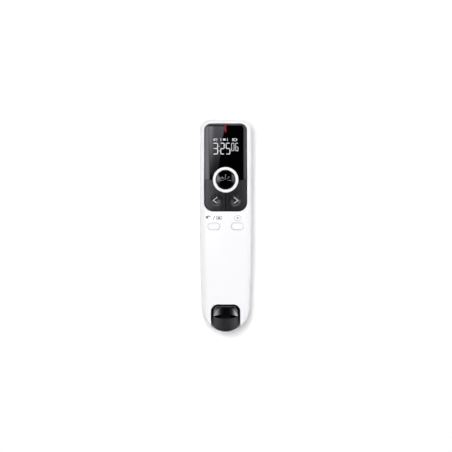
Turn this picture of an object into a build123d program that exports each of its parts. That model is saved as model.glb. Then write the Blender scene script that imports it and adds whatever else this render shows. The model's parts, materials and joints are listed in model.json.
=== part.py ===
"""Wireless presentation clicker: moulded housing, controls, laser, cells and plug-in receiver.

All sizes are in millimetres. The clicker lies on its back: +Z is the face with the controls, +Y the
laser end and -Y the receiver end. The origin is under the middle of the back, on the surface it lies on.
Each piece is written to parts/NAME.step where it sits in the assembled clicker.
"""
from build123d import *
from math import atan2, cos, sin, sqrt
import os

# ---------------------------------------------------------------- driving dimensions
# Housing
LENGTH = 136.0
WIDTH = 33.0
THICKNESS = 24.0
WALL = 1.6
SPLIT_Z = 11.0              # parting plane between the front and back shells
SEAM = 0.1                  # gap where the door meets the shells
NOSE_CORNER_R = 6.7         # corners of the laser end, seen from the front
TAIL_R = 15.3               # round tail, seen from the front
WAIST_Y = -4.0              # below this the flanks draw in and the front face falls away to the tail
CROWN_R = 95.0              # the front face is crowned across
TAIL_DROP_R = 567.0
FRONT_EDGE_R = 4.5
BACK_EDGE_R = 6.0
BACK_FLAT_Y = (-45.0, 14.0)     # the flat that the clicker lies on; the door ends where it does
BACK_TAIL_RISE = 8.1            # reached at BACK_TAIL_Y, past the end of the tail
BACK_TAIL_Y = -72.0
NOSE_LIFT = 4.8                 # the finger hollow under the laser end
NOSE_LIFT_RUN = 30.0
HOOK_SPANS = ((-30.0, -25.0), (-8.0, -3.0))     # where the door's hooks run over the tray's lugs
HOOK_Z = (9.6, 10.7)
LUG_Z = (8.2, 9.4)
BULKHEAD = 1.2
SADDLE_HALF_WIDTH = 5.5     # the laser's saddles in the nose
NOTCH_WALL = 1.0            # lining of the receiver's place
GROOVES = 5                 # thumb grooves on the door, shorter towards the tail
GROOVE_PITCH = 2.2
GROOVE_LENGTH = 16.0
GROOVE_R = 0.55

# Black panel let into the front
PANEL_Y = (9.0, 65.4)
PANEL_HALF_WIDTH = (13.9, 13.65)    # at its lower and upper ends
PANEL_CORNER_R = (6.0, 4.3)
PANEL_FLOOR_Z = (19.6, 21.2)
RIM = 0.5
RIM_SINK = 0.12             # how far the rim lies below the white skin
FIT = 0.05                  # gap round a piece that is pressed in
RING_Y = 29.3               # centre of the pointer button, and the seam between window and keys
RING_OUTER_R = 8.2
RING_INNER_R = 6.3
RING_TOP_Z = 24.45
RING_EDGE_R = 0.75
FLANGE_R = 6.9              # the button's flange, held down by a recess in the ring
FLANGE_TOP_Z = 21.7
RECESS_R = 7.2
DOME_HALF_WIDTH = 5.8
DOME_EDGE_Z = 23.8
DOME_RISE = 0.55
KEY_GAP = 0.3
KEY_SEAM = 0.14             # a quarter of the seam between the keys, half of theirs to the window
DISH_X = 6.5
DISH_Y = 16.2
DISH_R = 4.05
DISH_DEPTH = 0.7
KEY_STEM_R = 1.6
MARKER_Y = (59.6, 64.7)
MARKER_WIDTH = 1.1
MARKER_Z = 22.0             # bottom of its groove

# White buttons below the panel
PILL_X = 7.5
PILL_Y = -0.5
PILL_LENGTH = 7.8
PILL_WIDTH = 4.4
PILL_TOP_Z = 24.1
PILL_GAP = 0.2
PILL_FLANGE_Z = (20.5, 21.1)

# Power switch in the right-hand side
SLIDE_TRAVEL = 3.0
SLIDE_Z = 16.4
SLIDE_HEIGHT = 2.4
SLIDE_Y = (20.6, 25.6)
SLIDE_CLEARANCE = 0.3
SLIDE_SLOT_Y = (SLIDE_Y[0] - SLIDE_CLEARANCE, SLIDE_Y[1] + SLIDE_TRAVEL + SLIDE_CLEARANCE)

# Electronics
BOARD_Z = (15.3, 16.3)
BOARD_Y = (-33.0, 61.0)
BOARD_HALF_WIDTH = 12.9
STEM_END_Z = 18.9           # lower end of each button's stem
SWITCH_TOP_Z = 18.3
DISPLAY_Y = 50.5
DISPLAY_HALF = (10.2, 8.4)  # half its width and length
GLASS_Z = (19.5, 20.3, 21.1)
CONNECTOR_Y = 7.0           # the two contact strips, either side of DISPLAY_Y
CONNECTOR_HALF = (9.0, 1.0)
LASER_Z = 11.0
LASER_R = 3.4
BARREL_Y = (49.0, 63.5, 65.2)   # rear, shoulder and front
LASER_WINDOW_R = 3.0
LASER_WINDOW_Y = (66.2, 67.0)
BEAM_HOLE_R = 2.2

# Cells, type AAA
CELL_R = 5.25
CELL_LENGTH = 44.5
CELL_X = 5.9
CELL_Z = 7.5
BAY_Y = (-39.8, 7.7)
TRAY_HALF_WIDTH = 12.7
TRAY_WALL = 1.2
TRAY_LOW_Z = 3.0
CONTACT_SHEET = 0.3
CONTACT_Z = (4.2, 10.8)
BRIDGE_STRIP_Z = (9.0, 10.8)

# Receiver
RECEIVER_Y = (-68.0, -50.7)
RECEIVER_HALF_WIDTH = 9.17
RECEIVER_CORNER_R = 4.2
RECEIVER_END_R = 12.5
RECEIVER_END_CORNER_R = 3.8
RECEIVER_EDGE_R = 1.7
RECEIVER_BASE_Z = 11.3
RECEIVER_GAP = 0.3
GRIP_THICKNESS = 1.1
GRIP_LIP_Y = (-57.9, -59.5)     # at the sides and in the middle
SCOOP_R = 17.0
SCOOP_DEPTH = (0.5, 3.2)        # at its upper end and at the grip's lip
SCOOP_RIM = 1.4
RECEIVER_ROOM_HALF = 7.2        # the hollow for its circuit board
RECEIVER_ROOM_Y = (-63.2, -52.2)
RECEIVER_ROOM_Z = (12.7, 17.3)
DOCK_END_Y = -35.2
PLUG_HALF_WIDTH = 6.0
PLUG_HEIGHT = 4.5
PLUG_Z = 16.4
PLUG_END_Y = -36.7
PLUG_ROOT_Y = -54.0
TONGUE_Z = 16.7

# Screws
SCREW_HEAD_R = 1.8
SCREW_R = 0.98
SCREW_HEAD = 1.1
SCREW_LENGTH = 6.5
PILOT_R = 1.0
PILOT_DEPTH = 7.0
SCREW_HOLE_R = 1.15
BOSS_R = 2.3
TAIL_SCREW = (11.0, -43.5)
NOSE_SCREW = (11.6, 11.7)
TAIL_SEAT_Z = 13.5          # undersides of the screwed ears
NOSE_SEAT_Z = 4.0
EAR_THICKNESS = 1.2

HALF = WIDTH / 2
NOSE_Y = LENGTH / 2
TAIL_Y = -LENGTH / 2
BEYOND = 40.0               # above every piece, for cuts that leave through the front
SIDES = (-1, 1)

parts = {}


# ---------------------------------------------------------------- helpers for every piece
def block(x_range, y_range, z_range):
    """A rectangular solid between three pairs of limits."""
    size = [high - low for low, high in (x_range, y_range, z_range)]
    centre = [(high + low) / 2 for low, high in (x_range, y_range, z_range)]
    return Pos(*centre) * Box(*size)


def upright(radius, x, y, z_range):
    """A cylinder along Z."""
    low, high = z_range
    return Pos(x, y, (low + high) / 2) * Cylinder(radius, high - low)


def lengthwise(radius, x, z, y_range):
    """A cylinder along Y."""
    low, high = y_range
    return Pos(x, (low + high) / 2, z) * Rot(90, 0, 0) * Cylinder(radius, high - low)


def prism(face, z_range):
    """A plan outline drawn up from the first height to the second."""
    return Pos(0, 0, z_range[0]) * extrude(face, amount=z_range[1] - z_range[0])


def distinct(edges):
    """The edges with none listed twice."""
    found = []
    for edge in edges:
        if not any(edge.is_same(other) for other in found):
            found.append(edge)
    return found


def rim_edges(solid, above, below):
    """Edges that border an upright wall and run along it, with their middle between two heights."""
    walls = [face for face in solid.faces() if abs(face.normal_at().Z) < 0.02]
    level = [edge for wall in walls for edge in wall.edges() if abs((edge % 0.5).Z) < 0.7]
    return distinct([edge for edge in level if above < edge.center().Z < below])


def eased(edges, radius, rounded):
    """The edges' solid with them rounded, or bevelled by a flat that touches the same round."""
    if rounded:
        return fillet(edges, radius).solids()[0]
    return chamfer(edges, radius * (2 - sqrt(2))).solids()[0]


def keep(name, solid):
    """Files a finished piece under its name."""
    pieces = solid.solids()
    parts[name] = pieces[0] if len(pieces) == 1 else Compound(label=name, children=list(pieces))


# ---------------------------------------------------------------- outer form of the housing
def plan_outline():
    """Front view: square nose with round corners, flanks drawn in by a long arc, round tail."""
    tail_centre_y = TAIL_Y + TAIL_R
    run = WAIST_Y - tail_centre_y
    flank_r = (HALF**2 + run**2 - TAIL_R**2) / (2 * (HALF - TAIL_R))
    reach = TAIL_R / (flank_r - TAIL_R)
    join = (reach * (flank_r - HALF), tail_centre_y - reach * run)
    half_turn = atan2(-run, flank_r - HALF) / 2
    middle = (HALF - flank_r + flank_r * cos(half_turn), WAIST_Y + flank_r * sin(half_turn))
    with BuildSketch() as outline:
        with BuildLine():
            Polyline((-HALF, WAIST_Y), (-HALF, NOSE_Y), (HALF, NOSE_Y), (HALF, WAIST_Y))
            ThreePointArc((HALF, WAIST_Y), middle, join)
            ThreePointArc(join, (0, TAIL_Y), (-join[0], join[1]))
            ThreePointArc((-join[0], join[1]), (-middle[0], middle[1]), (-HALF, WAIST_Y))
        make_face()
        fillet(outline.vertices().sort_by(Axis.Y)[-2:], NOSE_CORNER_R)
    return outline.sketch


def side_outline():
    """Side view above the back: boat tail, resting flat, S-curve up to the finger hollow."""
    flat_low, flat_high = BACK_FLAT_Y
    half_run = flat_high + NOSE_LIFT_RUN / 2
    run_end = flat_high + NOSE_LIFT_RUN
    ceiling = 3 * THICKNESS
    with BuildSketch(Plane.YZ) as outline:
        with BuildLine():
            TangentArc((flat_low, 0), (BACK_TAIL_Y, BACK_TAIL_RISE), tangent=(-1, 0))
            Line((flat_low, 0), (flat_high, 0))
            belly = TangentArc((flat_high, 0), (half_run, NOSE_LIFT / 2), tangent=(1, 0))
            TangentArc((half_run, NOSE_LIFT / 2), (run_end, NOSE_LIFT), tangent=belly % 1)
            Polyline((run_end, NOSE_LIFT), (-BACK_TAIL_Y, NOSE_LIFT), (-BACK_TAIL_Y, ceiling),
                     (BACK_TAIL_Y, ceiling), (BACK_TAIL_Y, BACK_TAIL_RISE))
        make_face()
    return outline.sketch


def front_limit(inset):
    """Everything under the crowned front face, which falls away towards the tail on a large arc."""
    top = THICKNESS - inset
    crown_r = CROWN_R - inset
    reach = WIDTH * 0.6
    shoulder = top - crown_r + sqrt(crown_r**2 - reach**2)
    with BuildSketch(Plane(origin=(0, WAIST_Y, 0), x_dir=(1, 0, 0), z_dir=(0, -1, 0))) as section:
        with BuildLine():
            ThreePointArc((-reach, shoulder), (0, top), (reach, shoulder))
            Polyline((reach, shoulder), (reach, -BEYOND), (-reach, -BEYOND), (-reach, shoulder))
        make_face()
    straight = extrude(section.sketch, amount=LENGTH, dir=(0, 1, 0))
    drop_axis = Axis((0, WAIST_Y, THICKNESS - TAIL_DROP_R), (1, 0, 0))
    falling = revolve(section.sketch, axis=drop_axis, revolution_arc=8)
    return straight + falling


def body_form(inset=0.0, rounded=True):
    """The housing's closed outer form, or the same form drawn in, with its edges rounded or bevelled."""
    plan = plan_outline()
    side = side_outline()
    if inset:
        plan = offset(plan, -inset)
        side = offset(side, -inset)
    form = extrude(plan, amount=2 * THICKNESS) & extrude(side, amount=WIDTH, both=True)
    form = (form & front_limit(inset)).solids()[0]
    form = eased(rim_edges(form, SPLIT_Z + 3, BEYOND), FRONT_EDGE_R - inset, rounded)
    return eased(rim_edges(form, -1, SPLIT_Z + 1), BACK_EDGE_R - inset, rounded)


OUTER = body_form()
INNER = body_form(WALL, rounded=False)
SHELL = OUTER - INNER
ABOVE_SPLIT = block((-HALF, HALF), (TAIL_Y, NOSE_Y), (SPLIT_Z, THICKNESS + 1))


# ---------------------------------------------------------------- outlines let into the front
def panel_outline(margin=0.0):
    """The black panel's outline, slightly wider at its lower end, drawn in by a margin."""
    low_half, high_half = PANEL_HALF_WIDTH
    low_y, high_y = PANEL_Y
    with BuildSketch() as outline:
        with BuildLine():
            Polyline((-low_half, low_y), (low_half, low_y), (high_half, high_y), (-high_half, high_y),
                     close=True)
        make_face()
        corners = outline.vertices().sort_by(Axis.Y)
        fillet(corners[:2], PANEL_CORNER_R[0])
        corners = outline.vertices().sort_by(Axis.Y)
        fillet(corners[-2:], PANEL_CORNER_R[1])
    return offset(outline.sketch, -margin) if margin else outline.sketch


def pill_outline(side, margin=0.0):
    """A white button's round-ended outline on one side, grown by a margin."""
    return Pos(side * PILL_X, PILL_Y) * SlotOverall(PILL_LENGTH + 2 * margin, PILL_WIDTH + 2 * margin)


def receiver_outline():
    """The receiver from the front: round shoulders, straight sides, bowed end with eased corners."""
    end_y, top_y = RECEIVER_Y
    half = RECEIVER_HALF_WIDTH
    corner_y = end_y + RECEIVER_END_R - sqrt(RECEIVER_END_R**2 - half**2)
    with BuildSketch() as outline:
        with BuildLine():
            Polyline((-half, corner_y), (-half, top_y), (half, top_y), (half, corner_y))
            ThreePointArc((half, corner_y), (0, end_y), (-half, corner_y))
        make_face()
        shoulders = outline.vertices().sort_by(Axis.Y)[-2:]
        fillet(shoulders, RECEIVER_CORNER_R)
        corners = outline.vertices().group_by(Axis.Y)[0]
        fillet(corners, RECEIVER_END_CORNER_R)
    return outline.sketch


def notch_outline(margin):
    """The receiver's place in the housing, open at the tail."""
    half = RECEIVER_HALF_WIDTH + margin
    top_y = RECEIVER_Y[1] + margin
    with BuildSketch() as outline:
        with BuildLine():
            Polyline((-half, 2 * TAIL_Y), (-half, top_y), (half, top_y), (half, 2 * TAIL_Y), close=True)
        make_face()
        fillet(outline.vertices().sort_by(Axis.Y)[-2:], RECEIVER_CORNER_R + margin)
    return outline.sketch


# ---------------------------------------------------------------- cuts that housing and inner parts share
def round_ended_slot(y_range, height, x_range):
    """A round-ended prism along X, for the switch slot and what runs in it."""
    centre = ((y_range[0] + y_range[1]) / 2, SLIDE_Z)
    profile = Plane.YZ * Pos(*centre) * SlotOverall(y_range[1] - y_range[0], height)
    return Pos(x_range[0], 0, 0) * extrude(profile, amount=x_range[1] - x_range[0])


def beam_path():
    """The hole in the nose for the laser, with a recess behind it for its window."""
    hole = lengthwise(BEAM_HOLE_R, 0, LASER_Z, (BARREL_Y[1], NOSE_Y + 1))
    return hole + lengthwise(LASER_WINDOW_R + 0.05, 0, LASER_Z, (BARREL_Y[1], LASER_WINDOW_Y[1] + 0.1))


def plug_space(clearance, end_y):
    """Room for the receiver's plug."""
    half = PLUG_HALF_WIDTH + clearance
    rise = PLUG_HEIGHT / 2 + clearance
    return block((-half, half), (RECEIVER_Y[1] - 1, end_y), (PLUG_Z - rise, PLUG_Z + rise))


# ---------------------------------------------------------------- front housing
def front_housing():
    """White front shell with the openings for panel, buttons, switch, laser and receiver."""
    lining = prism(notch_outline(RECEIVER_GAP + NOTCH_WALL), (SPLIT_Z, BEYOND)) & OUTER
    shell = (SHELL & ABOVE_SPLIT) + lining
    shell = shell - prism(notch_outline(RECEIVER_GAP), (0, BEYOND)) - plug_space(0.35, PLUG_END_Y)
    post_top = PANEL_FLOOR_Z[0] - 1
    for side in SIDES:
        x, y = TAIL_SCREW
        shell = shell + (upright(BOSS_R, side * x, y, (TAIL_SEAT_Z + EAR_THICKNESS, THICKNESS)) & OUTER)
        shell = shell - upright(PILOT_R, side * x, y, (TAIL_SEAT_Z, TAIL_SEAT_Z + PILOT_DEPTH))
        x, y = NOSE_SCREW
        web = block(sorted((side * x, side * (HALF - WALL / 2))), (y - 0.7, y + 0.7), (SPLIT_Z, post_top))
        shell = shell + upright(BOSS_R, side * x, y, (NOSE_SEAT_Z + EAR_THICKNESS, post_top)) + web
        shell = shell - upright(PILOT_R, side * x, y, (NOSE_SEAT_Z, NOSE_SEAT_Z + PILOT_DEPTH))
    shell = shell - prism(panel_outline(), (PANEL_FLOOR_Z[0] - 0.5, BEYOND))
    for side in SIDES:
        shell = shell - prism(pill_outline(side, PILL_GAP), (PANEL_FLOOR_Z[0] - 0.5, BEYOND))
    shell = shell - round_ended_slot(SLIDE_SLOT_Y, SLIDE_HEIGHT + SLIDE_CLEARANCE, (HALF - 2, HALF + 1))
    return shell - beam_path()


keep("front_housing", front_housing())


# ---------------------------------------------------------------- back: nose shell and door
def rear_housing():
    """Nose half of the back shell: bulkhead, screw ears and two saddles for the laser."""
    start_y = BACK_FLAT_Y[1]
    zone = block((-HALF, HALF), (start_y, NOSE_Y), (0, SPLIT_Z))
    inside = INNER & zone
    bulkhead = inside & block((-HALF, HALF), (start_y, start_y + BULKHEAD), (0, SPLIT_Z - 0.5))
    shell = (SHELL & zone) + bulkhead
    for y in (BARREL_Y[0] + 3, BARREL_Y[0] + 11):
        saddle = block((-SADDLE_HALF_WIDTH, SADDLE_HALF_WIDTH), (y, y + WALL), (0, SPLIT_Z - 0.2))
        shell = shell + (saddle & inside)
    shell = shell - lengthwise(LASER_R + 0.05, 0, LASER_Z, (BARREL_Y[0] - 9, BARREL_Y[2] + 0.2))
    ear_z = (NOSE_SEAT_Z, NOSE_SEAT_Z + EAR_THICKNESS)
    for side in SIDES:
        x, y = NOSE_SCREW
        ear = block((side * x - BOSS_R, side * x + BOSS_R), (y, start_y + 0.5), ear_z)
        shell = shell + ear + upright(BOSS_R, side * x, y, ear_z)
        shell = shell - upright(SCREW_HOLE_R, side * x, y, (ear_z[0] - 0.5, ear_z[1] + 0.5))
    return shell - beam_path()


def battery_door():
    """Rest of the back shell with thumb grooves, four hooks and a stiffening rib at the tail."""
    end_y = BACK_FLAT_Y[1] - 2 * SEAM
    shell = SHELL & block((-HALF, HALF), (TAIL_Y, end_y), (-1, SPLIT_Z - SEAM))
    for low, high in HOOK_SPANS:
        for side in SIDES:
            hook = block(sorted((side * (TRAY_HALF_WIDTH + 0.5), side * HALF)), (low, high), HOOK_Z)
            shell = shell + (hook & OUTER)
    for count in range(GROOVES):
        groove_y = end_y - 5 - GROOVE_PITCH * count
        groove_length = GROOVE_LENGTH - 1.4 * count
        shell = shell - Pos(0, groove_y, 0) * Rot(0, 90, 0) * Cylinder(GROOVE_R, groove_length)
    rib_y = BACK_FLAT_Y[0] - 4
    return shell + (INNER & block((-HALF, HALF), (rib_y, rib_y + BULKHEAD), (0, HOOK_Z[0] - 1)))


keep("rear_housing", rear_housing())
keep("battery_door", battery_door())


# ---------------------------------------------------------------- black panel
def panel_frame():
    """Black rim round the panel with the floor that carries window, ring, display and keys."""
    low_z, high_z = PANEL_FLOOR_Z
    through = (low_z - 1, high_z + 1)
    half_width, half_length = DISPLAY_HALF
    frame = prism(panel_outline(FIT), (low_z, THICKNESS)) & body_form(RIM_SINK)
    frame = frame - prism(panel_outline(FIT + RIM), (high_z, BEYOND))
    frame = frame - block((-half_width - 0.5, half_width + 0.5),
                          (DISPLAY_Y - half_length - 0.3, DISPLAY_Y + half_length + 0.3), through)
    frame = frame - upright(RECESS_R, 0, RING_Y, through)
    for side in SIDES:
        frame = frame - upright(KEY_STEM_R + 0.4, side * DISH_X, DISH_Y, through)
    return frame


def laser_marker():
    """Red line let into the top of the window."""
    return OUTER & block((-MARKER_WIDTH / 2, MARKER_WIDTH / 2), MARKER_Y, (MARKER_Z, BEYOND))


def display_window():
    """Gloss black window, rolled over with the housing's edge."""
    window = OUTER & prism(panel_outline(2 * FIT + RIM), (PANEL_FLOOR_Z[1] + FIT, BEYOND))
    window = window & block((-HALF, HALF), (RING_Y + KEY_SEAM, NOSE_Y), (0, BEYOND))
    window = window - upright(RING_OUTER_R + FIT, 0, RING_Y, (0, BEYOND))
    return window - block((-MARKER_WIDTH / 2, MARKER_WIDTH / 2), MARKER_Y, (MARKER_Z, BEYOND))


def button_ring():
    """White ring with a rolled top and an inner lip that keeps the button in."""
    low_z = PANEL_FLOOR_Z[1]
    ring = upright(RING_OUTER_R, 0, RING_Y, (low_z, RING_TOP_Z))
    ring = ring - upright(RING_INNER_R, 0, RING_Y, (low_z - 1, BEYOND))
    ring = fillet(ring.edges().filter_by(GeomType.CIRCLE).group_by(Axis.Z)[-1], RING_EDGE_R)
    return ring - upright(RECESS_R, 0, RING_Y, (low_z - 1, FLANGE_TOP_Z + FIT))


def pointer_button():
    """Gloss black dome on a round stem, turned about its own axis."""
    under_z = FLANGE_TOP_Z - 0.7
    flange_z = FLANGE_TOP_Z - 0.2
    skirt_r = RING_INNER_R - 0.2
    top_z = DOME_EDGE_Z + DOME_RISE
    dome_r = (DOME_HALF_WIDTH**2 + DOME_RISE**2) / (2 * DOME_RISE)
    middle = (DOME_HALF_WIDTH / 2, top_z - dome_r + sqrt(dome_r**2 - DOME_HALF_WIDTH**2 / 4))
    with BuildSketch(Plane.XZ) as profile:
        with BuildLine():
            Polyline((0, STEM_END_Z), (KEY_STEM_R, STEM_END_Z), (KEY_STEM_R, under_z), (FLANGE_R, under_z),
                     (FLANGE_R, flange_z), (skirt_r, flange_z), (skirt_r, DOME_EDGE_Z - 0.3),
                     (DOME_HALF_WIDTH, DOME_EDGE_Z))
            ThreePointArc((DOME_HALF_WIDTH, DOME_EDGE_Z), middle, (0, top_z))
            Line((0, top_z), (0, STEM_END_Z))
        make_face()
    return Pos(0, RING_Y, 0) * revolve(profile.sketch, axis=Axis.Z)


def key(side):
    """One matte key: half of the panel's lower end, hollowed for a fingertip, on a round stem."""
    under_z = PANEL_FLOOR_Z[1] + 0.7
    cap = OUTER & prism(panel_outline(FIT + RIM + KEY_GAP), (under_z, BEYOND))
    cap = cap & block(sorted((side * 2 * KEY_SEAM, side * HALF)), (0, RING_Y - KEY_SEAM), (0, BEYOND))
    cap = cap - upright(RING_OUTER_R + KEY_GAP, 0, RING_Y, (0, BEYOND))
    ball_r = (DISH_R**2 + DISH_DEPTH**2) / (2 * DISH_DEPTH)
    surface_z = THICKNESS - DISH_X**2 / (2 * CROWN_R)
    cap = cap - Pos(side * DISH_X, DISH_Y, surface_z + ball_r - DISH_DEPTH) * Sphere(ball_r)
    return cap + upright(KEY_STEM_R, side * DISH_X, DISH_Y, (STEM_END_Z, under_z + 0.3))


keep("panel_frame", panel_frame())
keep("laser_marker", laser_marker())
keep("display_window", display_window())
keep("button_ring", button_ring())
keep("pointer_button", pointer_button())
keep("previous_key", key(-1))
keep("next_key", key(1))


# ---------------------------------------------------------------- white buttons
def pill_button(side):
    """Round-ended white button with an eased top, a flange under the skin and a stem."""
    cap = prism(pill_outline(side), (PILL_FLANGE_Z[0], PILL_TOP_Z))
    cap = fillet(cap.edges().group_by(Axis.Z)[-1], 0.5)
    cap = cap + prism(pill_outline(side, 0.9), PILL_FLANGE_Z)
    return cap + upright(KEY_STEM_R, side * PILL_X, PILL_Y, (STEM_END_Z, PILL_FLANGE_Z[0] + 0.1))


keep("screen_button", pill_button(-1))
keep("timer_button", pill_button(1))


# ---------------------------------------------------------------- power switch
def power_slider():
    """Ribbed slide in the side slot, with a dust flange and a finger that moves the switch."""
    flange_x = (HALF - WALL - 0.95, HALF - WALL - 0.15)
    grip = round_ended_slot(SLIDE_Y, SLIDE_HEIGHT, (flange_x[0], HALF - 0.15))
    for count in range(4):
        y = SLIDE_Y[0] + 1.3 + 0.8 * count
        grip = grip - block((HALF - 0.5, HALF), (y - 0.2, y + 0.2), (SLIDE_Z - 2, SLIDE_Z + 2))
    flange_y = (SLIDE_SLOT_Y[0] - SLIDE_TRAVEL - 0.4, SLIDE_SLOT_Y[1] + 0.4)
    flange = round_ended_slot(flange_y, SLIDE_HEIGHT + 1.4, flange_x)
    finger_z = (BOARD_Z[1] + 0.2, SLIDE_Z + 0.9)
    finger_y = (SLIDE_Y[0] + 1.5, SLIDE_Y[0] + 3.5)
    finger = block((BOARD_HALF_WIDTH + 0.1, flange_x[0] + 0.2), finger_y, finger_z)
    return grip + flange + finger


def switch_base():
    """Body of the slide switch on the board."""
    y_range = (SLIDE_Y[0] - 0.6, SLIDE_Y[1] + SLIDE_TRAVEL + 0.6)
    return block((BOARD_HALF_WIDTH - 3.9, BOARD_HALF_WIDTH - 0.1), y_range, (BOARD_Z[1], SWITCH_TOP_Z))


keep("power_slider", power_slider())
keep("switch_base", switch_base())


# ---------------------------------------------------------------- main board and what it carries
BUTTON_PLACES = [(0, RING_Y), (-DISH_X, DISH_Y), (DISH_X, DISH_Y), (-PILL_X, PILL_Y), (PILL_X, PILL_Y)]


def main_board():
    """Circuit board with round nose corners and notches for the screw posts."""
    half = BOARD_HALF_WIDTH
    board = block((-half, half), BOARD_Y, BOARD_Z)
    board = fillet(board.edges().filter_by(Axis.Z).group_by(Axis.Y)[-1], 4.0)
    board = fillet(board.edges().filter_by(Axis.Z).group_by(Axis.Y)[0], 1.0)
    for side in SIDES:
        x, y = NOSE_SCREW
        notch_r = BOSS_R + 0.3
        board = board - upright(notch_r, side * x, y, (0, BEYOND))
        board = board - block(sorted((side * x, side * HALF)), (y - notch_r, y + notch_r), (0, BEYOND))
    return board


def tact_switches():
    """A push switch under each button: square case and round plunger."""
    top = BOARD_Z[1]
    half = 2.3
    switches = []
    for x, y in BUTTON_PLACES:
        case = block((x - half, x + half), (y - half, y + half), (top, top + 1.5))
        case = chamfer(case.edges().group_by(Axis.Z)[-1], 0.2)
        switches.append((case + upright(1.0, x, y, (top, SWITCH_TOP_Z))).solids()[0])
    return Compound(switches)


def board_chips():
    """Controller, radio chip, crystal, coil, display driver and small capacitors."""
    top = BOARD_Z[1]
    controller = ((0, 7.5), (7, 7, 1.0))
    radio = ((4.5, -13), (4.5, 4.5, 0.9))
    crystal = ((-2.5, -10), (3.2, 2.5, 0.7))
    coil = ((-7.5, -12), (4.0, 4.0, 1.8))
    driver = ((0, 37.5), (7.5, 3.2, 2.2))
    capacitor = (1.6, 0.8, 0.7)
    chips = [controller, radio, crystal, coil, driver]
    chips = chips + [((-9.5 + 2.4 * count, -7.2), capacitor) for count in range(3)]
    chips = chips + [((8.6, -9.5 - 1.8 * count), capacitor) for count in range(4)]
    return Compound([(Pos(x, y, top + size[2] / 2) * Box(*size)).solids()[0] for (x, y), size in chips])


def vibration_motor():
    """Coin motor: flat can with an eased rim."""
    can = upright(4.0, 0, -22.0, (BOARD_Z[1], BOARD_Z[1] + 2.7))
    return chamfer(can.edges().group_by(Axis.Z)[-1], 0.3)


keep("main_board", main_board())
keep("tact_switches", tact_switches())
keep("board_chips", board_chips())
keep("vibration_motor", vibration_motor())


# ---------------------------------------------------------------- display under the window
def display_panel():
    """Two bonded glass plates, the lower one longer at the edge where the contacts are."""
    low_z, bond_z, high_z = GLASS_Z
    half_width, half_length = DISPLAY_HALF
    x_range = (-half_width, half_width)
    lower = block(x_range, (DISPLAY_Y - half_length, DISPLAY_Y + half_length), (low_z, bond_z))
    return lower + block(x_range, (DISPLAY_Y - half_length + 1.5, DISPLAY_Y + half_length), (bond_z, high_z))


def display_holder():
    """Moulded frame that carries the glass above the board, with two slots for the connectors."""
    half_width, half_length = (half + 1.2 for half in DISPLAY_HALF)
    slot_x, slot_y = (half + 0.1 for half in CONNECTOR_HALF)
    window_y = CONNECTOR_Y - slot_y - 1.1
    holder = block((-half_width, half_width), (DISPLAY_Y - half_length, DISPLAY_Y + half_length),
                   (BOARD_Z[1], GLASS_Z[0] - 0.1))
    holder = fillet(holder.edges().filter_by(Axis.Z), 1.0)
    holder = holder - block((-slot_x, slot_x), (DISPLAY_Y - window_y, DISPLAY_Y + window_y), (0, BEYOND))
    for side in SIDES:
        y = DISPLAY_Y + side * CONNECTOR_Y
        holder = holder - block((-slot_x, slot_x), (y - slot_y, y + slot_y), (0, BEYOND))
    return holder


def display_connectors():
    """Two striped rubber strips that press between glass and board."""
    half_x, half_y = CONNECTOR_HALF
    strips = []
    for side in SIDES:
        y = DISPLAY_Y + side * CONNECTOR_Y
        strip = block((-half_x, half_x), (y - half_y, y + half_y), (BOARD_Z[1], GLASS_Z[0]))
        strips.append(strip.solids()[0])
    return Compound(strips)


keep("display_panel", display_panel())
keep("display_holder", display_holder())
keep("display_connectors", display_connectors())


# ---------------------------------------------------------------- laser in the nose
def laser_barrel():
    """Turned brass barrel with a stepped front and a lens seat."""
    rear_y, shoulder_y, front_y = BARREL_Y
    barrel = lengthwise(LASER_R, 0, LASER_Z, (rear_y, shoulder_y))
    barrel = barrel + lengthwise(LASER_R - 0.6, 0, LASER_Z, (shoulder_y - 0.1, front_y))
    barrel = barrel - lengthwise(BEAM_HOLE_R - 0.6, 0, LASER_Z, (rear_y + 2, front_y + 1))
    return barrel - lengthwise(BEAM_HOLE_R, 0, LASER_Z, (shoulder_y - 2, front_y + 1))


def laser_lens():
    """Plano-convex lens in the barrel's seat."""
    flat_y, top_y = BARREL_Y[1] - 1.9, BARREL_Y[1] - 0.3
    curve_r = 6.0
    disc = lengthwise(BEAM_HOLE_R - FIT, 0, LASER_Z, (flat_y, top_y))
    return disc & (Pos(0, top_y - curve_r, LASER_Z) * Sphere(curve_r))


def laser_board():
    """Driver board behind the barrel."""
    return block((-3.5, 3.5), (BARREL_Y[0] - 12.5, BARREL_Y[0] - 0.1), (LASER_Z - 0.4, LASER_Z + 0.4))


keep("laser_barrel", laser_barrel())
keep("laser_lens", laser_lens())
keep("laser_window", lengthwise(LASER_WINDOW_R, 0, LASER_Z, LASER_WINDOW_Y))
keep("laser_board", laser_board())


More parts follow.
